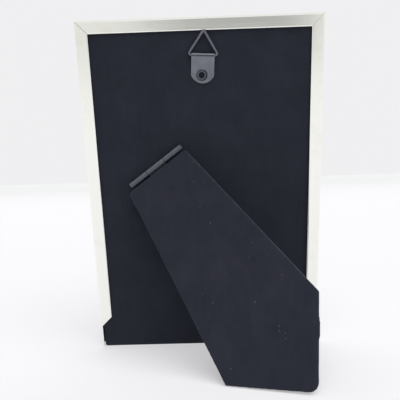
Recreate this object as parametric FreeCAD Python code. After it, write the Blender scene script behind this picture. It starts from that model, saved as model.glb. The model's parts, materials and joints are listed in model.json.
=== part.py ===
import FreeCAD, Part
import math
import os

# An easel back photo frame for a 4 x 6 inch picture. Millimetres and degrees.
# The pieces are made with the back board upright: x to the right seen from the front,
# y backwards from the frame's rearmost plane, z up the board. At the end the whole
# object leans back onto its strut.

# Metal frame
frame_width = 115.0
frame_height = 166.5
frame_depth = 10.4
sheet = 0.6
flange_width = 6.1
flange_end = 11.6
hem_depth = 2.4
hem_clearance = 0.1
back_bend = 1.2
crown_radius = 3.0
cove_reach = 2.7
cove_sag = 0.775
sight_lip = 8.75
sight_lip_lead = 0.7
wall_end_at_bottom = -0.9

# Glass, picture and filler, which sit inside the rebate
picture_width = 101.6
picture_height = 152.4
picture_play = 0.5
glass_thickness = 2.0
glass_bevel = 0.3
glass_front = -8.2
paper_thickness = 0.3
filler_thickness = 1.2
rebate_end = -4.75

# Back board: a core, velvet over it, and a lining card inside
board_width = 112.6
board_bottom = -0.2
board_top = 165.6
board_back = -1.35
board_core_thickness = 2.5
velvet = 0.35
board_lower_corner = 1.2
board_upper_corner = 1.0
board_turn_in = 11.0
velvet_edge = 0.3

# Hinge: the axis runs up to the left seen from the front
hinge_x = 23.352
hinge_y = 1.65
hinge_z = 98.407
hinge_slope = 36.3
strut_opening = 29.9
hinge_length = 31.2
knuckle_radius = 1.2
knuckle_clearance = 0.3
leaf = 0.55
pin_radius = 0.6
pin_play = 0.05
pin_head_height = 0.4
pin_head_rim = 0.2
middle_knuckle = 10.2
knuckle_gap = 0.2
leaf_width = 28.0
leaf_reach = 14.0
rivet_spacing = 16.0
rivet_from_axis = 8.5
rivet_shank = 1.25
rivet_head_radius = 2.2
rivet_head_height = 0.4
rivet_dome_radius = 8.8
leaf_seat_play = 0.2
tongue_play = 0.4
tongue_notch = 1.0

# Strut: the ends of its top edge beside and below the hinge axis, then its lower corners
# as (x, z) when it is closed flat on the board
strut_thickness = 3.0
strut_top_left = 17.72
strut_top_right = -16.77
strut_top = -3.12
strut_foot_inner = (-15.57, 0.69)
strut_foot_outer = (-53.93, 1.67)
strut_side = (-54.13, 42.05)
strut_foot_corner = 4.0
strut_corner = 1.2
strut_turn_in = 5.0
strut_lining_thickness = 0.3

# Wall hanger: a folded strap, a wire triangle and a tubular rivet
hanger_x = -1.4
hanger_z = 149.52
hanger_tilt = -3.4
strap_sheet = 0.35
strap_half_width = 5.4
strap_straight = 9.12
strap_length = 12.72
strap_slant = 13.0
crease_top = 0.3
crease_bottom = -0.4
crease_depth = 0.15
ring_wire = 0.625
ring_play = 0.075
ring_half_base = 7.2
ring_height = 11.18
ring_corner = 0.95
ring_stands_off = 4.0
eyelet_x = 0.4
eyelet_z = -8.97
eyelet_flange_radius = 2.15
eyelet_barrel_radius = 1.75
eyelet_bore_radius = 1.35
eyelet_rise = 0.5
eyelet_edge = 0.25
dimple_radius = 2.6
dimple_depth = 0.22

# The frame leans back until the inner corner of the strut's foot is on the table
lean = 12.021

X_AXIS = FreeCAD.Vector(1, 0, 0)
Y_AXIS = FreeCAD.Vector(0, 1, 0)
NO_TURN = FreeCAD.Rotation()
TOUCH = 1e-6


def point(x, y, z):
    return FreeCAD.Vector(x, y, z)


def placed(shape, placement):
    copy = shape.copy()
    copy.Placement = placement.multiply(copy.Placement)
    return copy


def solid_of(shape):
    """The one solid that a cut or a join leaves."""
    assert len(shape.Solids) == 1, len(shape.Solids)
    return shape.removeSplitter().Solids[0]


def closed_face(start, steps):
    """A face in the XY plane. A step is the next point, or a middle and an end point for an arc."""
    edges = []
    here = start
    for step in steps:
        if isinstance(step[0], tuple):
            middle, end = step
            edges.append(Part.Arc(point(*here, 0), point(*middle, 0), point(*end, 0)).toShape())
        else:
            end = step
            edges.append(Part.makeLine(point(*here, 0), point(*end, 0)))
        here = end
    return Part.Face(Part.Wire(edges))


def on_circle(centre, radius, degrees):
    angle = math.radians(degrees)
    return (centre[0] + radius * math.cos(angle), centre[1] + radius * math.sin(angle))


def rounded_wire(corners, y=0.0):
    """A closed outline in the XZ plane through corners given as (x, z, radius)."""
    count = len(corners)
    before = []
    middle = []
    after = []
    for i, (x, z, radius) in enumerate(corners):
        corner = point(x, y, z)
        last = point(corners[i - 1][0], y, corners[i - 1][1])
        following = point(corners[(i + 1) % count][0], y, corners[(i + 1) % count][1])
        to_last = (last - corner).normalize()
        to_next = (following - corner).normalize()
        half = to_last.getAngle(to_next) / 2
        along = radius / math.tan(half)
        inward = (to_last + to_next).normalize()
        before.append(corner + to_last * along)
        middle.append(corner + inward * (radius / math.sin(half) - radius))
        after.append(corner + to_next * along)
    edges = []
    for i in range(count):
        edges.append(Part.Arc(before[i], middle[i], after[i]).toShape())
        edges.append(Part.makeLine(after[i], before[(i + 1) % count]))
    return Part.Wire(edges)


def plate(outline, inset, y_low, y_high):
    """A flat plate of an outline in the XZ plane, made smaller all round by inset."""
    face = Part.Face(outline)
    if inset:
        face = face.makeOffset2D(-inset)
    face.translate(point(0, y_low - face.BoundBox.YMin, 0))
    return face.extrude(point(0, y_high - y_low, 0))


def sharp_prism(corners, y_low, y_high):
    """A prism along Y whose outline in the XZ plane has sharp corners."""
    points = [point(x, y_low, z) for x, z in corners]
    face = Part.Face(Part.makePolygon(points + points[:1]))
    return face.extrude(point(0, y_high - y_low, 0))


def rod(radius, x, z, y_low, y_high):
    """A round rod along Y."""
    return Part.makeCylinder(radius, y_high - y_low, point(x, y_low, z), Y_AXIS)


def soften_back_edge(solid, radius):
    """Rounds the outer edge of a covered board on its back face."""
    back = solid.BoundBox.YMax - TOUCH
    return solid.makeFillet(radius, [edge for edge in solid.Edges if edge.BoundBox.YMin > back])


def rail_section():
    """The formed sheet of a rail: x inward from the outer wall, y as in the object."""
    hem_start = flange_width - sheet
    sight_centre = sight_lip - sheet
    ledge_back = glass_front
    ledge_front = glass_front - sheet
    front_sheet = ledge_front - sheet
    wall_front = crown_radius - frame_depth
    rebate = (frame_width - picture_width) / 2 - picture_play
    crown = (crown_radius, wall_front)
    bend = (back_bend, -back_bend)
    inner_crown = crown_radius - sheet
    start = (back_bend, 0)
    steps = [
        (hem_start, 0),
        ((flange_width, -sheet), (hem_start, -2 * sheet)),
        (hem_start - hem_depth, -2 * sheet),
        (hem_start - hem_depth, -sheet),
        (back_bend, -sheet),
        (on_circle(bend, back_bend - sheet, 135), (sheet, -back_bend)),
        (sheet, wall_front),
        (on_circle(crown, inner_crown, 225), (crown_radius, wall_front - inner_crown)),
        ((crown_radius + cove_reach, ledge_front - cove_sag), (sight_centre - sight_lip_lead, ledge_front)),
        (rebate - sheet, ledge_front),
        (rebate - sheet, rebate_end),
        (rebate, rebate_end),
        (rebate, ledge_back),
        (sight_centre, ledge_back),
        ((sight_lip, ledge_front), (sight_centre, front_sheet)),
        ((crown_radius + cove_reach, front_sheet - cove_sag), (crown_radius, -frame_depth)),
        (on_circle(crown, crown_radius, 225), (0, wall_front)),
        (0, -back_bend),
        (on_circle(bend, back_bend, 135), start),
    ]
    return closed_face(start, steps)


def rail(length):
    """A rail along Z, mitred at both ends, with its outer wall at x = 0."""
    over = 1.0
    far = sight_lip + over
    room = sharp_prism(
        [(-over, -over), (far, far), (far, length - far), (-over, length + over)], -frame_depth - over, over
    )
    return solid_of(rail_section().extrude(point(0, 0, length)).common(room))


def side_rail():
    """A rail whose flange ends above the bottom in a 45 degree cut. Its wall goes on down."""
    over = 1.0
    far = flange_width + over
    under_hem = -2 * sheet - hem_clearance
    flange = sharp_prism(
        [(-over, -over), (far, -over), (far, flange_end + far), (-over, flange_end - over)],
        wall_end_at_bottom,
        over,
    )
    hem = sharp_prism(
        [(sheet, -over), (far, -over), (far, flange_end + far), (sheet, flange_end + sheet)],
        under_hem,
        wall_end_at_bottom,
    )
    return solid_of(rail(frame_height).cut(flange).cut(hem))


def make_rails():
    side = side_rail()
    left = placed(side, FreeCAD.Placement(point(-frame_width / 2, 0, 0), NO_TURN))
    right = left.mirror(point(0, 0, 0), X_AXIS)
    across = rail(frame_width)
    top_left = point(-frame_width / 2, 0, frame_height)
    bottom_right = point(frame_width / 2, 0, 0)
    top = placed(across, FreeCAD.Placement(top_left, FreeCAD.Rotation(Y_AXIS, 90)))
    behind_board = Part.makeBox(
        2 * frame_width, frame_depth, frame_height, point(-frame_width, rebate_end, -sight_lip)
    )
    bottom = placed(across, FreeCAD.Placement(bottom_right, FreeCAD.Rotation(Y_AXIS, -90)))
    bottom = solid_of(bottom.cut(behind_board))
    return {"top_rail": top, "left_rail": left, "right_rail": right, "bottom_rail": bottom}


def picture_sheet(y_low, thickness):
    """A sheet of the picture's size, centred in the frame."""
    corner = point(-picture_width / 2, y_low, (frame_height - picture_height) / 2)
    return Part.makeBox(picture_width, thickness, picture_height, corner)


def make_picture_pack():
    paper_front = glass_front + glass_thickness
    filler_front = paper_front + paper_thickness
    glass = picture_sheet(glass_front, glass_thickness)
    return {
        "glass_pane": glass.makeChamfer(glass_bevel, glass.Edges),
        "photo_insert": picture_sheet(paper_front, paper_thickness),
        "filler_card": picture_sheet(filler_front, filler_thickness),
    }


# Places of hinge and hanger on the board
def swung(place, angle):
    """A place turned about its own X axis."""
    return place.multiply(FreeCAD.Placement(point(0, 0, 0), FreeCAD.Rotation(X_AXIS, angle)))


hinge_point = point(hinge_x, hinge_y, hinge_z)
hinge_place = FreeCAD.Placement(hinge_point, FreeCAD.Rotation(Y_AXIS, hinge_slope))
strut_place = swung(hinge_place, strut_opening)
ring_axis_y = board_back + strap_sheet + ring_wire + ring_play
ring_point = point(hanger_x, ring_axis_y, hanger_z)
hanger_place = FreeCAD.Placement(ring_point, FreeCAD.Rotation(Y_AXIS, hanger_tilt))
ring_place = swung(hanger_place, -ring_stands_off)

board_core_back = board_back - velvet
board_core_front = board_core_back - board_core_thickness
board_front = board_core_front - velvet
rivet_places = [(-rivet_spacing / 2, -rivet_from_axis), (rivet_spacing / 2, -rivet_from_axis)]


def board_outline():
    half = board_width / 2
    return rounded_wire(
        [
            (-half, board_bottom, board_lower_corner),
            (half, board_bottom, board_lower_corner),
            (half, board_top, board_upper_corner),
            (-half, board_top, board_upper_corner),
        ]
    )


def board_rivets():
    """Two rivets: a head on the leaf, a shank through the board and a flush head inside."""
    low = board_core_front - hinge_y
    leaf_top = board_back + leaf - hinge_y
    rivets = []
    for x, z in rivet_places:
        dome_centre = point(x, leaf_top + rivet_head_height - rivet_dome_radius, z)
        head = Part.makeSphere(rivet_dome_radius, dome_centre)
        head = head.common(rod(rivet_head_radius, x, z, leaf_top, leaf_top + rivet_head_height))
        shank = rod(rivet_shank, x, z, low, leaf_top)
        tail = rod(rivet_head_radius, x, z, low, low + rivet_head_height)
        rivets.append(placed(solid_of(head.Solids[0].fuse([shank, tail])), hinge_place))
    return rivets


def make_board():
    outline = board_outline()
    core = plate(outline, velvet, board_core_front, board_core_back)
    cover = soften_back_edge(plate(outline, 0, board_front, board_back), velvet_edge)
    window = plate(outline, board_turn_in, board_front, board_core_front)
    lining = window.copy()
    cover = cover.cut(core).cut(window)
    eyelet_hole = rod(eyelet_barrel_radius, eyelet_x, eyelet_z, -frame_depth, frame_depth)
    eyelet_hole = placed(eyelet_hole, hanger_place)
    rivets = board_rivets()
    core = solid_of(core.cut(rivets).cut(eyelet_hole))
    cover = solid_of(cover.cut(rivets).cut(eyelet_hole))
    return {
        "backboard_core": core,
        "backboard_velvet": cover,
        "backboard_lining": lining,
        "hinge_board_rivets": Part.makeCompound(rivets),
    }


def knuckles(spans):
    """Rolled knuckles along X, bored for the pin."""
    bore = pin_radius + pin_play
    made = []
    for low, high in spans:
        outside = Part.makeCylinder(knuckle_radius, high - low, point(low, 0, 0), X_AXIS)
        inside = Part.makeCylinder(bore, high - low, point(low, 0, 0), X_AXIS)
        made.append(outside.cut(inside))
    return made


def make_hinge():
    outer_spans = [
        (-hinge_length / 2, -middle_knuckle / 2 - knuckle_gap),
        (middle_knuckle / 2 + knuckle_gap, hinge_length / 2),
    ]
    bore = Part.makeCylinder(pin_radius + pin_play, hinge_length, point(-hinge_length / 2, 0, 0), X_AXIS)
    rivet_holes = [rod(rivet_shank, x, z, -frame_depth, frame_depth) for x, z in rivet_places]

    # The board leaf lies on the velvet, turns up above the axis and rolls into the outer knuckles.
    leaf_low = board_back - hinge_y
    under_knuckle = -knuckle_radius - knuckle_clearance
    flat = Part.makeBox(
        leaf_width, leaf, knuckle_radius + leaf_reach, point(-leaf_width / 2, leaf_low, -leaf_reach)
    )
    upright = Part.makeBox(
        hinge_length,
        under_knuckle - leaf_low,
        leaf,
        point(-hinge_length / 2, leaf_low, knuckle_radius - leaf),
    )
    arms = [
        Part.makeBox(high - low, -leaf_low, leaf, point(low, leaf_low, knuckle_radius - leaf))
        for low, high in outer_spans
    ]
    board_leaf = solid_of(flat.fuse([upright] + arms + knuckles(outer_spans)).cut(bore).cut(rivet_holes))

    # The strut leaf lies in the strut's inner side and rolls into the middle knuckle.
    middle = (-middle_knuckle / 2, middle_knuckle / 2)
    tongue = Part.makeBox(middle_knuckle, leaf, leaf_reach, point(middle[0], -knuckle_radius, -leaf_reach))
    wide = Part.makeBox(
        leaf_width, leaf, leaf_reach + strut_top, point(-leaf_width / 2, -knuckle_radius, -leaf_reach)
    )
    strut_leaf = solid_of(tongue.fuse([wide] + knuckles([middle])).cut(bore).cut(rivet_holes))

    reach = hinge_length / 2
    pin = Part.makeCylinder(pin_radius, hinge_length, point(-reach, 0, 0), X_AXIS)
    heads = [
        Part.makeCylinder(pin_radius + pin_head_rim, pin_head_height, point(x, 0, 0), X_AXIS)
        for x in (-reach - pin_head_height, reach)
    ]
    pin = solid_of(pin.fuse(heads))
    return {
        "hinge_board_leaf": placed(board_leaf, hinge_place),
        "hinge_strut_leaf": placed(strut_leaf, strut_place),
        "hinge_pin": placed(pin, hinge_place),
    }


def to_strut(x, z):
    """A place on the board, in the axes of the closed strut."""
    angle = math.radians(hinge_slope)
    across = x - hinge_x
    up = z - hinge_z
    return (across * math.cos(angle) - up * math.sin(angle), across * math.sin(angle) + up * math.cos(angle))


def strut_outline():
    return rounded_wire(
        [
            (strut_top_left, strut_top, strut_corner),
            (*to_strut(*strut_foot_inner), strut_corner),
            (*to_strut(*strut_foot_outer), strut_foot_corner),
            (*to_strut(*strut_side), strut_corner),
            (strut_top_right, strut_top, strut_corner),
        ]
    )


def make_strut():
    outline = strut_outline()
    low = -strut_thickness / 2
    high = strut_thickness / 2
    core_low = low + strut_lining_thickness
    core_high = high - velvet
    cover = soften_back_edge(plate(outline, 0, low, high), velvet_edge)
    core = plate(outline, velvet, core_low, core_high)
    lining = plate(outline, strut_turn_in, low, core_low)
    leaf_seat = Part.makeBox(
        leaf_width + 2 * leaf_seat_play,
        leaf,
        leaf_reach + strut_top + leaf_seat_play,
        point(-leaf_width / 2 - leaf_seat_play, core_low, -leaf_reach - leaf_seat_play),
    )
    tongue_way = Part.makeBox(
        middle_knuckle + 2 * tongue_play,
        2 * knuckle_radius,
        2 * tongue_notch,
        point(-middle_knuckle / 2 - tongue_play, low, strut_top - tongue_notch),
    )
    rivets = []
    for x, z in rivet_places:
        shank = rod(rivet_shank, x, z, -knuckle_radius, core_high)
        head = rod(rivet_head_radius, x, z, core_high - rivet_head_height, core_high)
        rivets.append(solid_of(shank.fuse(head)))
    cover = solid_of(cover.cut(core).cut(lining).cut(leaf_seat).cut(tongue_way))
    core = solid_of(core.cut(leaf_seat).cut(tongue_way).cut(rivets))
    return {
        "strut_core": placed(core, strut_place),
        "strut_velvet": placed(cover, strut_place),
        "strut_lining": placed(lining, strut_place),
        "hinge_strut_rivets": placed(Part.makeCompound(rivets), strut_place),
    }


def slanted_height(distance, y):
    """The height at which the front layer's slant, at a distance from the wire's middle, is at y."""
    slant = math.radians(strap_slant)
    return (y * math.cos(slant) - distance) / math.sin(slant)


def across_the_strap(profile):
    """A side view given as (y, z), as a solid over the strap's whole width."""
    profile.Placement = FreeCAD.Placement(
        point(-strap_half_width, 0, 0), FreeCAD.Rotation(point(1, 1, 1), 120)
    )
    return profile.extrude(point(2 * strap_half_width, 0, 0))


def make_strap(loop_inside, loop_outside):
    """Flat behind, over the wire to a crease in front, slanting down to the back layer."""
    wire = (0, 0)
    back = -loop_outside
    front = back + 2 * strap_sheet
    over_top = math.degrees(math.asin(crease_top / loop_outside))
    slant = math.radians(strap_slant)
    side_view = closed_face(
        (back, -strap_length),
        [
            (back, 0),
            (on_circle(wire, loop_outside, 90 + over_top / 2), on_circle(wire, loop_outside, over_top)),
            (loop_outside - crease_depth, (crease_top + crease_bottom) / 2),
            ((loop_outside + crease_bottom * math.sin(slant)) / math.cos(slant), crease_bottom),
            (front, slanted_height(loop_outside, front)),
            (front, -strap_length),
            (back, -strap_length),
        ],
    )
    where_layers_meet = (-loop_inside, slanted_height(loop_inside, -loop_inside))
    way = closed_face(
        where_layers_meet,
        [
            (-loop_inside, 0),
            (on_circle(wire, loop_inside, 90 - strap_slant / 2), on_circle(wire, loop_inside, -strap_slant)),
            where_layers_meet,
        ],
    )
    edge = strap_half_width
    top = 2 * loop_outside
    round_end = ((0, -strap_length), (edge, -strap_straight))
    outline = closed_face((-edge, top), [(-edge, -strap_straight), round_end, (edge, top), (-edge, top)])
    outline.rotate(point(0, 0, 0), X_AXIS, 90)
    outline.translate(point(0, -top, 0))
    outline = outline.extrude(point(0, 2 * top, 0))
    hole = rod(eyelet_barrel_radius, eyelet_x, eyelet_z, -frame_depth, frame_depth)
    dimple_floor = point(eyelet_x, front - dimple_depth, eyelet_z)
    dimple = Part.makeCone(dimple_radius - dimple_depth, dimple_radius, dimple_depth, dimple_floor, Y_AXIS)
    bent = across_the_strap(side_view).cut(across_the_strap(way))
    return solid_of(bent.common(outline).cut(hole).cut(dimple))


def make_hanger():
    loop_inside = ring_wire + ring_play
    loop_outside = loop_inside + strap_sheet
    strap = make_strap(loop_inside, loop_outside)

    # The ring: a wire triangle whose base turns in the strap's loop.
    path = rounded_wire(
        [(-ring_half_base, 0, ring_corner), (ring_half_base, 0, ring_corner), (0, ring_height, ring_corner)]
    )
    section = Part.Wire(Part.makeCircle(ring_wire, point(0, 0, 0), X_AXIS))
    ring = path.makePipeShell([section], True, True)

    # The tubular rivet: a rolled flange in the strap's dimple and a barrel through the board.
    seat = 2 * strap_sheet - loop_outside - dimple_depth
    top = seat + eyelet_rise
    bottom = board_core_front - ring_axis_y
    bore = rod(eyelet_bore_radius, eyelet_x, eyelet_z, bottom, top)
    flange = rod(eyelet_flange_radius, eyelet_x, eyelet_z, seat, top).cut(bore)
    flange = soften_back_edge(flange, eyelet_edge)
    barrel = rod(eyelet_barrel_radius, eyelet_x, eyelet_z, bottom, seat).cut(bore)
    eyelet = solid_of(flange.fuse(barrel))
    return {
        "hanger_strap": placed(strap, hanger_place),
        "hanger_ring": placed(ring, ring_place),
        "hanger_eyelet": placed(eyelet, hanger_place),
    }


def row_vector(vector):
    return tuple(round(value, 5) for value in vector)


# Put together, lean back and stand on the table with the origin under the middle
pieces = {}
for group in (make_rails(), make_picture_pack(), make_board(), make_hinge(), make_strut(), make_hanger()):
    pieces.update(group)

leaning = FreeCAD.Placement(point(0, 0, 0), FreeCAD.Rotation(X_AXIS, -lean))
pieces = {name: placed(shape, leaning) for name, shape in pieces.items()}
box = FreeCAD.BoundBox()
for shape in pieces.values():
    box.add(shape.optimalBoundingBox())
to_origin = FreeCAD.Placement(point(-box.Center.x, -box.Center.y, -box.ZMin), NO_TURN)

os.makedirs("parts", exist_ok=True)
for name, shape in pieces.items():
    finished = placed(shape, to_origin)
    finished.exportStep("parts/" + name + ".step")
    print(name, "valid", finished.isValid(), "solids", len(finished.Solids), "mm3", round(finished.Volume, 2))

whole = to_origin.multiply(leaning)
hinge_row = whole.multiply(hinge_place)
hanger_row = whole.multiply(hanger_place)
print("size", row_vector((box.XLength, box.YLength, box.ZLength)))
for name in ("backboard_velvet", "strut_velvet", "left_rail"):
    print(name, "stands above the table by", round(pieces[name].optimalBoundingBox().ZMin - box.ZMin, 3))
print("hinge point", row_vector(hinge_row.Base))
print("strut closes about", row_vector(hinge_row.Rotation.multVec(-X_AXIS)))
print("ring point", row_vector(hanger_row.Base))
print("ring swings out about", row_vector(hanger_row.Rotation.multVec(-X_AXIS)))
print("board slides along", row_vector(whole.Rotation.multVec(point(0, 0, -1))))
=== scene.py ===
import json
import math

import bpy
from mathutils import Matrix, Vector


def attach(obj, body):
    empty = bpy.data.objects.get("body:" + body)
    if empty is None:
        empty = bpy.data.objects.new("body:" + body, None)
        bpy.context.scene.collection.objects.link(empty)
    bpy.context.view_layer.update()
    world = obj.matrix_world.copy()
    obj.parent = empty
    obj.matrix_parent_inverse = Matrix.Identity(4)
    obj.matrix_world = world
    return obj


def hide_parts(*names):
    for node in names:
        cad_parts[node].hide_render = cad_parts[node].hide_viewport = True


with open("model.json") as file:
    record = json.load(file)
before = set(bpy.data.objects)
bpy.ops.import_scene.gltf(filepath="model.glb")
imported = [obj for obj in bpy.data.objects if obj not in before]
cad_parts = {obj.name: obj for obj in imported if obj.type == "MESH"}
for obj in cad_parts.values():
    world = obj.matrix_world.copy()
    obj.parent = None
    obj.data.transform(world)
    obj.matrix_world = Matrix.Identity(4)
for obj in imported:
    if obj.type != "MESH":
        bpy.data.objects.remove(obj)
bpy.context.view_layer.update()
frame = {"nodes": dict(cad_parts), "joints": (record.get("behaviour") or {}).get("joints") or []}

MM = 0.001

# The silver frame
# Four lengths of silver-plated steel sheet, roll-formed with a hemmed flange at the back and a
# cove at the front, cut at 45 degrees and soldered at the corners.


def joint(name):
    return next(entry for entry in frame["joints"] if entry["name"] == name)


down_the_board = Vector(joint("backboard_slide")["axis"])
lean = math.asin(-down_the_board.y)
lean_back = Matrix.Rotation(-lean, 4, "X")
stand_up = lean_back.inverted()

silver_colour = (0.94, 0.942, 0.885)
silver_tarnish = (0.875, 0.873, 0.785)
silver_roughness = (0.1, 0.2)
plate_edge = 0.09 * MM
mitre_gaps = {1: 0.16 * MM, -1: 0.07 * MM}
fine_lines = 2600
long_lines = 30
same_place = 0.0005 * MM
same_plane = math.radians(0.3)
real_edge = math.radians(35)


def deselect_all():
    if bpy.context.object and bpy.context.object.mode != "OBJECT":
        bpy.ops.object.mode_set(mode="OBJECT")
    bpy.ops.object.select_all(action="DESELECT")


def make_active(piece):
    deselect_all()
    piece.select_set(True)
    bpy.context.view_layer.objects.active = piece
    return piece


def edit(piece, select="EDGE"):
    """Edit mode with nothing selected."""
    make_active(piece)
    bpy.ops.object.mode_set(mode="EDIT")
    bpy.ops.mesh.select_mode(type=select)
    bpy.ops.mesh.select_all(action="DESELECT")


def pick(piece, kind, wanted):
    """Selects the vertices, edges or faces that a test on the mesh element wants, and nothing else."""
    bpy.ops.mesh.select_mode(type={"vertices": "VERT", "edges": "EDGE", "polygons": "FACE"}[kind])
    bpy.ops.mesh.select_all(action="DESELECT")
    bpy.ops.object.mode_set(mode="OBJECT")
    for element in getattr(piece.data, kind):
        element.select = wanted(element)
    bpy.ops.object.mode_set(mode="EDIT")


def apply_modifier(piece, kind, **settings):
    make_active(piece)
    modifier = piece.modifiers.new(kind.title(), kind)
    for name, value in settings.items():
        setattr(modifier, name, value)
    bpy.ops.object.modifier_apply(modifier=modifier.name)


def whole_faces(node, name):
    """A new piece in the shape of a node, with its loose triangles merged back into whole faces."""
    piece = bpy.data.objects.new(name, frame["nodes"][node].data.copy())
    bpy.context.collection.objects.link(piece)
    piece.data.materials.clear()
    edit(piece)
    bpy.ops.mesh.customdata_custom_splitnormals_clear()
    bpy.ops.mesh.select_all(action="SELECT")
    bpy.ops.mesh.remove_doubles(threshold=same_place)
    bpy.ops.mesh.dissolve_limited(angle_limit=same_plane)
    bpy.ops.mesh.normals_make_consistent(inside=False)
    bpy.ops.object.mode_set(mode="OBJECT")
    return piece


def smooth(piece, angle=40):
    make_active(piece)
    bpy.ops.object.shade_smooth_by_angle(angle=math.radians(angle))


def soften_edges(piece, width):
    """The small rounding that sheet and wire have on every edge."""
    apply_modifier(
        piece,
        "BEVEL",
        width=width,
        segments=2,
        limit_method="ANGLE",
        angle_limit=real_edge,
        use_clamp_overlap=True,
    )
    smooth(piece)
    apply_modifier(piece, "WEIGHTED_NORMAL", keep_sharp=True)


def upright_box(node):
    """Lowest and highest corner of a node with the frame stood up straight."""
    corners = [stand_up @ vertex.co for vertex in frame["nodes"][node].data.vertices]
    low = Vector(min(corner[axis] for corner in corners) for axis in range(3))
    high = Vector(max(corner[axis] for corner in corners) for axis in range(3))
    return low, high


class Shader:
    """A material's node tree, with short words for what the finishes here are made of."""

    def __init__(self, name):
        self.material = bpy.data.materials.new(name)
        self.material.use_nodes = True
        self.tree = self.material.node_tree
        self.surface = self.tree.nodes["Principled BSDF"]
        self.place = self.add("TexCoord").outputs["Object"]

    def add(self, kind, settings=None, **inputs):
        node = self.tree.nodes.new("ShaderNode" + kind)
        for name, value in (settings or {}).items():
            setattr(node, name, value)
        for name, value in inputs.items():
            self.plug(node.inputs[name.replace("_", " ")], value)
        return node

    def plug(self, socket, value):
        if isinstance(value, bpy.types.NodeSocket):
            self.tree.links.new(value, socket)
        elif isinstance(value, tuple) and len(value) == 3 and socket.type == "RGBA":
            socket.default_value = (*value, 1)
        else:
            socket.default_value = value

    def set(self, **inputs):
        for name, value in inputs.items():
            self.plug(self.surface.inputs[name.replace("_", " ")], value)

    def stretched(self, scale):
        return self.add("Mapping", Vector=self.place, Scale=scale).outputs["Vector"]

    def noise(self, size, detail=3.0, roughness=0.55, place=None):
        """Noise with features of about that size in metres, from 0 to 1."""
        node = self.add(
            "TexNoise", Vector=place or self.place, Scale=1 / size, Detail=detail, Roughness=roughness
        )
        return node.outputs["Fac"]

    def between(self, fac, low, high, out_low=0.0, out_high=1.0):
        """A soft step from one value to another as fac goes from low to high."""
        node = self.add("MapRange", {"interpolation_type": "SMOOTHSTEP"}, Value=fac)
        limits = {"From Min": low, "From Max": high, "To Min": out_low, "To Max": out_high}
        for name, value in limits.items():
            node.inputs[name].default_value = value
        return node.outputs["Result"]

    def math(self, operation, first, second):
        node = self.add("Math", {"operation": operation})
        self.plug(node.inputs[0], first)
        self.plug(node.inputs[1], second)
        return node.outputs["Value"]

    def mix(self, fac, first, second):
        node = self.add("Mix", {"data_type": "RGBA"})
        self.plug(node.inputs["Factor"], fac)
        self.plug(node.inputs[6], first)
        self.plug(node.inputs[7], second)
        return node.outputs[2]

    def bump(self, height, distance, strength=1.0, under=None):
        node = self.add("Bump", Height=height, Distance=distance, Strength=strength)
        if under is not None:
            self.plug(node.inputs["Normal"], under)
        return node.outputs["Normal"]


def silver_plate(name, brushing):
    """Polished silver plate, a little tarnished, with fine polishing lines along the rail."""
    shader = Shader(name)
    waves = shader.noise(22 * MM, 1.0)
    clouds = shader.noise(9 * MM, 5.0)
    lines = shader.noise(1.0, 4.0, place=shader.stretched(brushing))
    tarnish_and_painted_shade = shader.between(clouds, 0.52, 0.78)
    handled = shader.between(shader.noise(5 * MM, 6.0, 0.7), 0.55, 0.75, 0, 0.06)
    rough = shader.between(lines, 0.25, 0.75, *silver_roughness)
    shader.set(
        Base_Color=shader.mix(tarnish_and_painted_shade, silver_colour, silver_tarnish),
        Metallic=1.0,
        Roughness=shader.math("ADD", handled, rough),
    )
    soft = shader.bump(waves, 0.12 * MM)
    shader.set(Normal=shader.bump(lines, 0.003 * MM, under=soft))
    return shader.material


silver_upright = silver_plate("silver_plate_upright", (fine_lines, fine_lines, long_lines))
silver_across = silver_plate("silver_plate_across", (long_lines, fine_lines, fine_lines))

for node in ("top_rail", "left_rail", "right_rail", "bottom_rail"):
    rail = whole_faces(node, node + "_plated")
    if node == "top_rail":
        # the mitres stand a hair open
        edit(rail, "VERT")
        for side, gap in mitre_gaps.items():
            pick(rail, "vertices", lambda vertex: side * vertex.co.x > 0)
            bpy.ops.transform.translate(value=(-side * gap, 0, 0))
    soften_edges(rail, plate_edge)
    rail.data.materials.append(silver_across if "top" in node or "bottom" in node else silver_upright)
    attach(rail, "frame")
    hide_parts(node)

# The glass, the paper and the filler card
# Float glass with ground edges, a blank sheet of paper where the picture goes, and a grey card
# that presses it against the glass.
glass = Shader("clear_glass")
glass.set(
    Base_Color=(0.975, 0.99, 0.983),
    Roughness=glass.between(glass.noise(30 * MM, 4.0), 0.4, 0.8, 0.0, 0.03),
    IOR=1.52,
    Transmission_Weight=1.0,
)
paper = Shader("blank_paper")
paper_dark = (0.88, 0.875, 0.855)
paper_light = (0.93, 0.925, 0.91)
paper_fibres = paper.noise(0.5 * MM, 6.0, 0.7)
paper.set(
    Base_Color=paper.mix(paper.between(paper_fibres, 0.3, 0.7), paper_dark, paper_light),
    Roughness=0.85,
    Normal=paper.bump(paper_fibres, 0.01 * MM),
)
card = Shader("grey_card")
card_dark = (0.2, 0.19, 0.175)
card_light = (0.33, 0.315, 0.29)
card_fibres = card.noise(0.8 * MM, 6.0, 0.75)
card.set(
    Base_Color=card.mix(card.between(card_fibres, 0.3, 0.7), card_dark, card_light),
    Roughness=0.9,
    Normal=card.bump(card_fibres, 0.02 * MM),
)
for node, shader in (("glass_pane", glass), ("photo_insert", paper), ("filler_card", card)):
    frame["nodes"][node].data.materials.clear()
    frame["nodes"][node].data.materials.append(shader.material)

# The back board
# Hardboard covered in black velvet that is glued over its edges and turned in on the inside,
# where a black card hides the raw edges. It slides up the frame from below.
board_low, board_high = upright_box("backboard_velvet")
velvet = 0.35 * MM
lower_corner = 1.2 * MM
upper_corner = 1.0 * MM
board_turn_in = 11 * MM

board_black = (0.0155, 0.0173, 0.0256)
board_nap = (0.0202, 0.0226, 0.0323)
board_lint = 0.008
lint_colour = (0.08, 0.086, 0.098)
nap_size = 14 * MM
pile_size = 0.28 * MM
lint_spacing = 2.3 * MM


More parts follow.
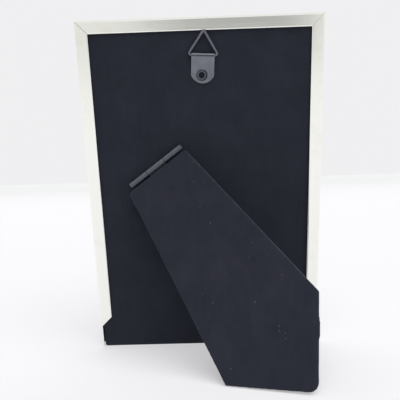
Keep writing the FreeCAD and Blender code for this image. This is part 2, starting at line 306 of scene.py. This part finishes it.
def velvet_shader(name, dark, light, lint_share):
    """Short-pile velvet with a nap that lies unevenly, a soft sheen and specks of lint."""
    shader = Shader(name)
    nap = shader.noise(nap_size, 4.0, 0.6)
    streaks = shader.noise(1.0, 3.0, place=shader.stretched((420, 420, 90)))
    pile = shader.noise(pile_size, 2.0, 0.8)
    patches = shader.between(nap, 0.35, 0.7, 0, 0.6)
    brushed = shader.between(streaks, 0.3, 0.8, 0, 0.4)
    cloth = shader.mix(shader.math("ADD", patches, brushed), dark, light)
    cells = shader.add("TexVoronoi", Vector=shader.place, Scale=1 / lint_spacing, Randomness=1.0)
    wobble = shader.noise(0.4 * MM, 2.0)
    speck = shader.math("ADD", cells.outputs["Distance"], shader.between(wobble, 0.2, 0.8, -0.09, 0.09))
    spot = shader.between(speck, 0.08, 0.15, 1, 0)
    chosen = shader.add("SeparateColor", Color=cells.outputs["Color"]).outputs["Red"]
    lint = shader.math("MULTIPLY", spot, shader.between(chosen, 1 - lint_share, 1 - lint_share + 0.01))
    shader.set(
        Base_Color=shader.mix(lint, cloth, lint_colour),
        Roughness=0.95,
        Specular_IOR_Level=0.15,
        Sheen_Weight=0.35,
        Sheen_Roughness=0.35,
        Sheen_Tint=(0.55, 0.6, 0.75, 1),
        Normal=shader.bump(pile, 0.05 * MM, under=shader.bump(nap, 0.25 * MM)),
    )
    return shader.material


touching = 0.01 * MM
smallest_board = 100 * MM * MM


def outline_face(name, corners, y):
    """A flat face in the XZ plane with rounded corners, given as (x, z, radius)."""
    deselect_all()
    bpy.ops.mesh.primitive_circle_add(vertices=len(corners), fill_type="NGON")
    piece = bpy.context.object
    piece.name = name
    for vertex, (x, z, radius) in zip(piece.data.vertices, corners):
        vertex.co = (x, y, z)
    edit(piece, "VERT")
    for i, (x, z, radius) in enumerate(corners):
        corner = Vector((x, y, z))
        last_x, last_z, _ = corners[i - 1]
        next_x, next_z, _ = corners[(i + 1) % len(corners)]
        before = Vector((last_x, y, last_z)) - corner
        after = Vector((next_x, y, next_z)) - corner
        pick(piece, "vertices", lambda vertex: (vertex.co - corner).length < touching)
        bpy.ops.mesh.bevel(
            offset=radius / math.tan(before.angle(after) / 2), affect="VERTICES", segments=8, profile=0.5
        )
    return piece


def cut_into_squares(piece, step):
    """Cuts the whole piece along X and Z into squares, so that it can be shaped."""
    low = [min(vertex.co[axis] for vertex in piece.data.vertices) for axis in (0, 2)]
    high = [max(vertex.co[axis] for vertex in piece.data.vertices) for axis in (0, 2)]
    edit(piece)
    for axis, start, end in ((0, low[0], high[0]), (2, low[1], high[1])):
        count = round((end - start) / step)
        for i in range(1, count):
            place = [0.0, 0.0, 0.0]
            normal = [0.0, 0.0, 0.0]
            place[axis] = start + (end - start) * i / count
            normal[axis] = 1.0
            bpy.ops.mesh.select_all(action="SELECT")
            bpy.ops.mesh.bisect(plane_co=place, plane_no=normal)
    bpy.ops.object.mode_set(mode="OBJECT")


def span(piece, edge):
    first, second = edge.vertices
    return piece.data.vertices[first].co - piece.data.vertices[second].co


def velvet_cover(name, corners, inner, outer, turn_in, rounding, step):
    """Velvet drawn over a board from its outer face and turned in on its inner face."""
    piece = outline_face(name, corners, inner)
    edit(piece, "FACE")
    bpy.ops.mesh.select_all(action="SELECT")
    bpy.ops.mesh.extrude_region_move(TRANSFORM_OT_translate={"value": (0, outer - inner, 0)})
    bpy.ops.mesh.select_all(action="SELECT")
    bpy.ops.mesh.normals_make_consistent(inside=False)
    pick(piece, "edges", lambda edge: abs(span(piece, edge).y) < touching)
    bpy.ops.mesh.bevel(offset=rounding, segments=3, affect="EDGES", clamp_overlap=True)
    pick(piece, "polygons", lambda face: face.normal.y < -0.99 and face.area > smallest_board)
    bpy.ops.mesh.inset(thickness=turn_in - rounding)
    bpy.ops.mesh.delete(type="FACE")
    cut_into_squares(piece, step)
    return piece


def waves(piece, size, height, group=""):
    """Small waves of the cloth, as glue and pile leave them."""
    cloud = bpy.data.textures.new(piece.name + "_waves", "CLOUDS")
    cloud.noise_scale = size
    apply_modifier(
        piece,
        "DISPLACE",
        texture=cloud,
        strength=height,
        texture_coords="LOCAL",
        mid_level=0.5,
        vertex_group=group,
    )


def fuzzy_rim(piece, size, height):
    """The pile stands out unevenly round a covered board's edge, clear of what lies under it."""
    edit(piece, "VERT")
    pick(piece, "vertices", lambda vertex: -0.1 < vertex.normal.y < 0.9)
    bpy.ops.object.vertex_group_assign_new()
    bpy.ops.object.mode_set(mode="OBJECT")
    waves(piece, size, height, piece.vertex_groups[0].name)
    piece.vertex_groups.clear()


half = board_high.x
board_waves = (5 * MM, 0.06 * MM)
board_cover = velvet_cover(
    "backboard_velvet_cover",
    [
        (-half, board_low.z, lower_corner),
        (half, board_low.z, lower_corner),
        (half, board_high.z, upper_corner),
        (-half, board_high.z, upper_corner),
    ],
    board_low.y,
    board_high.y,
    board_turn_in,
    rounding=0.35 * MM,
    step=1.5 * MM,
)
waves(board_cover, *board_waves)
apply_modifier(board_cover, "SOLIDIFY", thickness=velvet, offset=-1)
board_cover.data.transform(lean_back)
smooth(board_cover, 60)
board_cover.data.materials.append(velvet_shader("black_velvet_board", board_black, board_nap, board_lint))
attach(board_cover, "backboard")
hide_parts("backboard_velvet")

hardboard = Shader("hardboard")
board_fibres = hardboard.noise(0.6 * MM, 6.0, 0.7)
hardboard.set(
    Base_Color=hardboard.mix(board_fibres, (0.1, 0.055, 0.03), (0.2, 0.12, 0.07)),
    Roughness=0.7,
    Normal=hardboard.bump(board_fibres, 0.02 * MM),
)
black_card = Shader("black_card")
black_fibres = black_card.noise(0.7 * MM, 6.0, 0.75)
black_card.set(
    Base_Color=black_card.mix(black_fibres, (0.012, 0.012, 0.014), (0.035, 0.035, 0.04)),
    Roughness=0.8,
    Normal=black_card.bump(black_fibres, 0.015 * MM),
)
for node in ("backboard_core", "strut_core"):
    frame["nodes"][node].data.materials.clear()
    frame["nodes"][node].data.materials.append(hardboard.material)
for node in ("backboard_lining", "strut_lining"):
    frame["nodes"][node].data.materials.clear()
    frame["nodes"][node].data.materials.append(black_card.material)

# The wall hanger
# A strap of nickel-plated sheet folded round the base of a wire triangle, and a tubular rivet
# that holds both layers to the back board.
hanger_finishes = {
    "hanger_strap": ("nickel_plate", (0.168, 0.178, 0.205), 0.36),
    "hanger_ring": ("nickel_wire", (0.135, 0.138, 0.168), 0.3),
    "hanger_eyelet": ("nickel_plate", (0.095, 0.105, 0.125), 0.3),
}
hanger_edge = 0.06 * MM
ring_point = Vector(joint("ring_swing")["pos_m"])
out_of_board = Vector((0, math.cos(lean), -math.sin(lean)))
along_wire = -Vector(joint("ring_swing")["axis"])
up_strap = along_wire.cross(out_of_board)

strap_front = 0.9 * MM
crease_height = -0.05 * MM
crease_deeper = 0.16 * MM
crease = ring_point + strap_front * out_of_board + crease_height * up_strap
crease_found = 0.1 * MM
rivet_aside = 0.4 * MM
rivet_below = 8.97 * MM
rivet_centre = ring_point + rivet_aside * along_wire - rivet_below * up_strap
# where the band of painted shade along the crease starts and ends
crease_shade_starts = (-0.65 * MM, -0.4 * MM)
crease_shade_ends = (0.1 * MM, 0.35 * MM)
fold_starts = (0.2 * MM, 0.4 * MM)
dimple_rim = (2.55 * MM, 2.95 * MM)
dimple_right = (0.3 * MM, 1.6 * MM)
# dark tone for the painted shade on the strap and the hinge
tarnish_and_painted_shade = (0.012, 0.013, 0.019)
# lighter tone for the painted highlight on the strap's fold
painted_highlight_tone = (0.42, 0.42, 0.45)


def dull_plate(name, colour, roughness):
    """Dull nickel plate, greyer and rougher in patches."""
    shader = Shader(name)
    patches = shader.noise(3.5 * MM, 4.0, 0.6)
    grain = shader.noise(0.25 * MM, 3.0, 0.7)
    worn = tuple(1.2 * part for part in colour)
    shader.plated = shader.mix(shader.between(patches, 0.3, 0.75), colour, worn)
    shader.set(
        Base_Color=shader.plated,
        Metallic=1.0,
        Roughness=shader.between(grain, 0.25, 0.8, roughness - 0.07, roughness + 0.1),
        Normal=shader.bump(grain, 0.012 * MM),
    )
    return shader


def along(shader, start, direction):
    """How far a place on the surface lies from a start along a direction."""
    offset = shader.add("VectorMath", {"operation": "SUBTRACT"})
    shader.plug(offset.inputs[0], shader.place)
    shader.plug(offset.inputs[1], tuple(start))
    dot = shader.add("VectorMath", {"operation": "DOT_PRODUCT"})
    shader.plug(dot.inputs[0], offset.outputs["Vector"])
    shader.plug(dot.inputs[1], tuple(direction))
    return dot.outputs["Value"]


def squared_sum(shader, first, second):
    return shader.math("ADD", shader.math("POWER", first, 2.0), shader.math("POWER", second, 2.0))


def toned(shader, where, share, tone=tarnish_and_painted_shade):
    """Painted shade, or a painted highlight in a lighter tone, that takes a share of the colour where a
    mask is 1.
    """
    aged = shader.mix(share, shader.plated, tone)
    shader.plated = shader.mix(where, shader.plated, aged)
    shader.set(Base_Color=shader.plated)


def press_crease(strap):
    """The crease that the folding tool leaves below the wire."""
    edit(strap, "VERT")
    pick(strap, "vertices", lambda vertex: (vertex.co - crease).cross(along_wire).length < crease_found)
    bpy.ops.transform.translate(value=-crease_deeper * out_of_board)


def paint_strap_shade_and_highlight(plate):
    """Painted shade in the crease and on the right side of the dimple round the rivet, and a painted
    highlight on the fold above.
    """
    height = along(plate, crease, up_strap)
    below = plate.between(height, *crease_shade_starts)
    above = plate.between(height, *crease_shade_ends, 1, 0)
    # painted shade: the crease below the wire is darkened
    toned(plate, plate.math("MULTIPLY", below, above), 0.5)
    # painted highlight: the fold over the wire is lightened where it catches the light
    toned(plate, plate.between(height, *fold_starts), 0.6, painted_highlight_tone)
    # painted shade: a dark crescent on the right side of the dimple round the rivet
    beside = along(plate, rivet_centre, -along_wire)
    from_rivet = plate.math("SQRT", squared_sum(plate, beside, along(plate, rivet_centre, up_strap)), 0.0)
    dimple = plate.between(from_rivet, *dimple_rim, 1, 0)
    right = plate.between(beside, *dimple_right, 0.25, 1)
    toned(plate, plate.math("MULTIPLY", dimple, right), 0.8)


for node, (slot, colour, roughness) in hanger_finishes.items():
    part = whole_faces(node, node + "_plated")
    plate = dull_plate(node + "_nickel", colour, roughness)
    if node == "hanger_strap":
        press_crease(part)
        paint_strap_shade_and_highlight(plate)
    soften_edges(part, hanger_edge)
    part.data.materials.append(plate.material)
    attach(part, "ring" if node == "hanger_ring" else "backboard")
    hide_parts(node)

# The strut hinge
# Two leaves of dull sheet steel rolled into three knuckles round a steel pin, each riveted
# through its board with two rivets.
hinge_point = Vector(joint("strut_hinge")["pos_m"])
hinge_line = -Vector(joint("strut_hinge")["axis"])
up_strut = hinge_line.cross(out_of_board)
hinge_edge = 0.07 * MM
steel_colour = (0.09, 0.097, 0.114)
steel_painted_highlight = (0.19, 0.2, 0.235)
knuckle_edge = ((1.22 * MM) ** 2, (1.4 * MM) ** 2)
knuckle_underside = (-0.6 * MM, -0.2 * MM)
dark_middle_starts = (-0.4 * MM, -0.1 * MM)
dark_middle_ends = (0.05 * MM, 0.35 * MM)
hinge_steel = dull_plate("dull_steel_hinge", steel_colour, 0.38)
hinge_steel.set(Metallic=0.3)
off_axis = along(hinge_steel, hinge_point, up_strut)
squares = squared_sum(hinge_steel, off_axis, along(hinge_steel, hinge_point, out_of_board))
# painted highlight: the knuckles' lower side is lightened where it catches the light
toned(hinge_steel, hinge_steel.between(off_axis, *knuckle_underside, 1, 0), 0.85, steel_painted_highlight)
# painted shade: a darker band along the knuckles' middle
dark_middle_low = hinge_steel.between(off_axis, *dark_middle_starts)
dark_middle_high = hinge_steel.between(off_axis, *dark_middle_ends, 1, 0)
toned(hinge_steel, hinge_steel.math("MULTIPLY", dark_middle_low, dark_middle_high), 0.5)
# painted shade: leaves and rivets beyond the knuckles are darkened, and their reflection cut, where they
# lie in shade
toned(hinge_steel, hinge_steel.between(squares, *knuckle_edge), 0.95)
hinge_steel.set(Specular_IOR_Level=hinge_steel.between(squares, *knuckle_edge, 0.5, 0.04))
hinge_bodies = {
    "hinge_board_leaf": "backboard",
    "hinge_board_rivets": "backboard",
    "hinge_pin": "backboard",
    "hinge_strut_leaf": "strut",
    "hinge_strut_rivets": "strut",
}
for node, body in hinge_bodies.items():
    part = whole_faces(node, node + "_steel")
    soften_edges(part, hinge_edge)
    part.data.materials.append(hinge_steel.material)
    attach(part, body)
    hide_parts(node)

# The strut
# A slanting leg of hardboard under the same velvet, hinged on the slant so that it props the
# frame both upright and lengthwise.
strut_opening = math.radians(joint("strut_hinge")["range_deg"][1])
strut_thickness = 3.0 * MM
strut_corner = 1.2 * MM
strut_top_corner = 2.2 * MM
strut_foot_corner = 4.0 * MM
strut_turn_in = 5.0 * MM
strut_corners = [
    (36.075 * MM, 85.189 * MM, strut_top_corner),
    (-15.11 * MM, 0.52 * MM, strut_corner),
    (-53.93 * MM, 1.5 * MM, strut_foot_corner),
    (-54.12 * MM, 41.9 * MM, strut_corner),
    (8.089 * MM, 105.755 * MM, strut_corner),
]
frame_foot = upright_box("bottom_rail")[0].z
closed_middle = (stand_up @ hinge_point).y
# two places where glue has pushed the velvet's edge out, and how far
lumps = [
    (Vector((-54.1 * MM, closed_middle, frame_foot + 26.6 * MM)), Vector((-0.4 * MM, 0, 0))),
    (Vector((33.74 * MM, closed_middle, frame_foot + 81.34 * MM)), Vector((0.3 * MM, 0, -0.18 * MM))),
]
lump_reaches = (4.5 * MM, 3.2 * MM)
strut_waves = (4 * MM, 0.1 * MM)
strut_fuzz = (0.9 * MM, 0.25 * MM)
strut_inner = closed_middle - strut_thickness / 2
strut_cover = velvet_cover(
    "strut_velvet_cover",
    [(x, z + frame_foot, radius) for x, z, radius in strut_corners],
    strut_inner,
    strut_inner + strut_thickness,
    strut_turn_in,
    rounding=0.75 * MM,
    step=0.8 * MM,
)
edit(strut_cover, "VERT")
for lump_place, outwards in lumps:
    for reach in lump_reaches:
        pick(strut_cover, "vertices", lambda vertex: (vertex.co - lump_place).length < reach)
        bpy.ops.transform.translate(value=outwards / 2)
waves(strut_cover, *strut_waves)
fuzzy_rim(strut_cover, *strut_fuzz)
apply_modifier(strut_cover, "SOLIDIFY", thickness=velvet, offset=-1)
# pressed flat on the side that closes against the rails
edit(strut_cover, "VERT")
pick(strut_cover, "vertices", lambda vertex: vertex.co.y < strut_inner)
bpy.ops.transform.resize(value=(1, 0, 1), center_override=(0, strut_inner, 0))
bpy.ops.object.mode_set(mode="OBJECT")
to_hinge = Matrix.Translation(hinge_point)
swung_open = to_hinge @ Matrix.Rotation(strut_opening, 4, hinge_line) @ to_hinge.inverted()
strut_cover.data.transform(swung_open @ lean_back)
smooth(strut_cover, 60)
# painted light: the strut's velvet is the board's velvet made a little lighter, for its face turned up
# towards the light
strut_black_painted_lighter = (0.0175, 0.0193, 0.0285)
strut_nap_painted_lighter = (0.0245, 0.0262, 0.0365)
strut_lint = 0.1
strut_cover.data.materials.append(velvet_shader("black_velvet_strut", strut_black_painted_lighter, strut_nap_painted_lighter, strut_lint))
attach(strut_cover, "strut")
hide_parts("strut_velvet")

# The table, the daylight, the grey card and the camera
# A white table under even daylight, seen from behind the frame. A soft-edged grey card stands
# behind the camera for the plated parts to reflect.
table_size = 60
table_white = (0.97, 0.962, 0.98)
table_far = (0.88, 0.885, 0.885)
table_grey = (0.78, 0.78, 0.77)
table_lift = 0.32
distance = (-5.0, -1.0)
behind_camera = (0.25, 1.1)
deselect_all()
bpy.ops.mesh.primitive_plane_add(size=table_size)
table = bpy.context.object
table.name = "table"
table_top = Shader("white_table")
depth = table_top.add("SeparateXYZ", Vector=table_top.place).outputs["Y"]
into_distance = table_top.between(depth, *distance, 1, 0)
past_camera = table_top.between(depth, *behind_camera)
towards_distance = table_top.mix(into_distance, table_white, table_far)
table_colour = table_top.mix(past_camera, towards_distance, table_grey)
table_rays = table_top.add("LightPath").outputs
looked_at = table_top.math("MAXIMUM", table_rays["Is Camera Ray"], table_rays["Is Glossy Ray"])
lifted = table_top.math("MULTIPLY", looked_at, table_lift)
table_top.set(
    Base_Color=table_top.mix(lifted, table_colour, (0, 0, 0)),
    Roughness=0.7,
    Specular_IOR_Level=0.1,
    Emission_Color=table_colour,
    Emission_Strength=lifted,
)
table.data.materials.append(table_top.material)

deselect_all()
card_size = 500 * MM
card_place = (-35 * MM, 350 * MM, 150 * MM)
card_grey = (0.44, 0.44, 0.45)
bpy.ops.mesh.primitive_plane_add(size=card_size, location=(0, 0, 0), rotation=(math.radians(90), 0, 0))
bpy.ops.object.transform_apply(rotation=True)
card_stand = bpy.context.object
card_stand.name = "grey_card_stand"
card_stand.location = card_place
card_surface = Shader("soft_grey_card")
sides = card_surface.add("SeparateXYZ", Vector=card_surface.place).outputs
right_side = card_surface.between(sides["X"], 30 * MM, 150 * MM, 1, 0)
left_side = card_surface.between(sides["X"], -105 * MM, -60 * MM)
upper_side = card_surface.between(sides["Z"], 70 * MM, 110 * MM, 1, 0)
lower_side = card_surface.between(sides["Z"], -85 * MM, -40 * MM)
across = card_surface.math("MULTIPLY", right_side, left_side)
upwards = card_surface.math("MULTIPLY", upper_side, lower_side)
card_surface.set(
    Base_Color=(0, 0, 0),
    Specular_IOR_Level=0.0,
    Emission_Color=card_grey,
    Emission_Strength=1.0,
    Alpha=card_surface.math("MULTIPLY", across, upwards),
)
card_stand.data.materials.append(card_surface.material)
for ray in ("camera", "diffuse", "transmission", "shadow"):
    setattr(card_stand, "visible_" + ray, False)

light_given = 0.45
light_seen = 0.88
world = bpy.data.worlds.new("daylight")
bpy.context.scene.world = world
world.use_nodes = True
tree = world.node_tree
background = tree.nodes["Background"]
rays = tree.nodes.new("ShaderNodeLightPath")
seen = tree.nodes.new("ShaderNodeMath")
seen.operation = "ADD"
tree.links.new(rays.outputs["Is Camera Ray"], seen.inputs[0])
tree.links.new(rays.outputs["Is Glossy Ray"], seen.inputs[1])
strength = tree.nodes.new("ShaderNodeMapRange")
tree.links.new(seen.outputs["Value"], strength.inputs["Value"])
strength.inputs["To Min"].default_value = light_given
strength.inputs["To Max"].default_value = light_seen
tree.links.new(strength.outputs["Result"], background.inputs["Strength"])
background.inputs["Color"].default_value = (0.985, 0.985, 1, 1)

deselect_all()
bpy.ops.object.light_add(type="SUN", location=(-0.3, 0.68, 0.8))
key = bpy.context.object
key.name = "soft_key"
key.data.angle = math.radians(75)
key.data.energy = 2.35
key.rotation_euler = key.location.to_track_quat("Z", "Y").to_euler()
key.visible_glossy = False

focal_length = 44.07
camera_place = (-1.92 * MM, 232.207 * MM, 89.5 * MM)
camera_turn = (87.416, 1.778, 180.921)
deselect_all()
bpy.ops.object.camera_add(location=camera_place, rotation=[math.radians(angle) for angle in camera_turn])
camera = bpy.context.object
camera.data.lens = focal_length
camera.data.clip_start = 0.01
bpy.context.scene.camera = camera
bpy.context.scene.view_settings.view_transform = "Standard"
